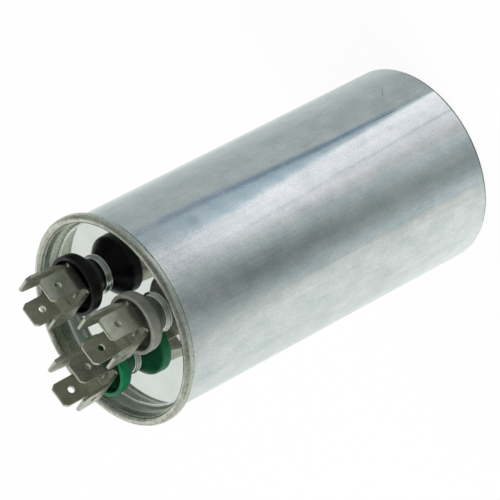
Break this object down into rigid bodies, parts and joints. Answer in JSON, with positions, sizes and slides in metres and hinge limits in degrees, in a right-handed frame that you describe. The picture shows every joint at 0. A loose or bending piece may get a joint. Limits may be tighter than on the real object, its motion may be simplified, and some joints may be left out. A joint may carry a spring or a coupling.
{
  "type": "motor run capacitor",
  "caption": "Round drawn aluminium motor run capacitor with a rolled seam, a recessed lid and colour-coded cup insulators that carry push-on tab terminals.",
  "frame": {"origin": "centre of the can's closed flat end, which it stands on", "axes": "+Z along the can's axis towards the terminals; +X from the can's axis to the black terminal"},
  "size_m": [0.0532, 0.0532, 0.1142],
  "materials": {
    "can": "drawn, satin, with axial draw lines",
    "lid": "tinplate, bright panel",
    "seal": "moulded",
    "cup_black": "moulded",
    "cup_green": "moulded",
    "cup_white": "moulded",
    "tabs": "tinned, dull",
    "rivet": "tinned",
    "washer": "pressed board",
    "lug": "tinned",
    "lead": "drawn wire",
    "film": "metallised film, wound",
    "end_metal": "sprayed zinc, rough",
    "wrap": "film",
    "plastic": "moulded polypropylene"
  },
  "bodies": {
    "root": {"can": "can", "lid": "lid", "seam_gasket": "seal", "bottom_pad": "plastic", "winding_roll": "film", "film_wrap": "wrap", "core_tube": "plastic", "end_spray_bottom": "end_metal", "end_spray_inner": "end_metal", "end_spray_outer": "end_metal", "spacer_plate": "plastic", "insulator_cup_black": "cup_black", "tabs_black": "tabs", "rivet_black": "rivet", "seal_bush_black": "seal", "inner_washer_black": "washer", "solder_lug_black": "lug", "lead_black": "lead", "insulator_cup_green": "cup_green", "tabs_green": "tabs", "rivet_green": "rivet", "seal_bush_green": "seal", "inner_washer_green": "washer", "solder_lug_green": "lug", "lead_green": "lead", "insulator_cup_white": "cup_white", "tabs_white": "tabs", "rivet_white": "rivet", "seal_bush_white": "seal", "inner_washer_white": "washer", "solder_lug_white": "lug", "lead_white": "lead"}
  },
  "joints": []
}
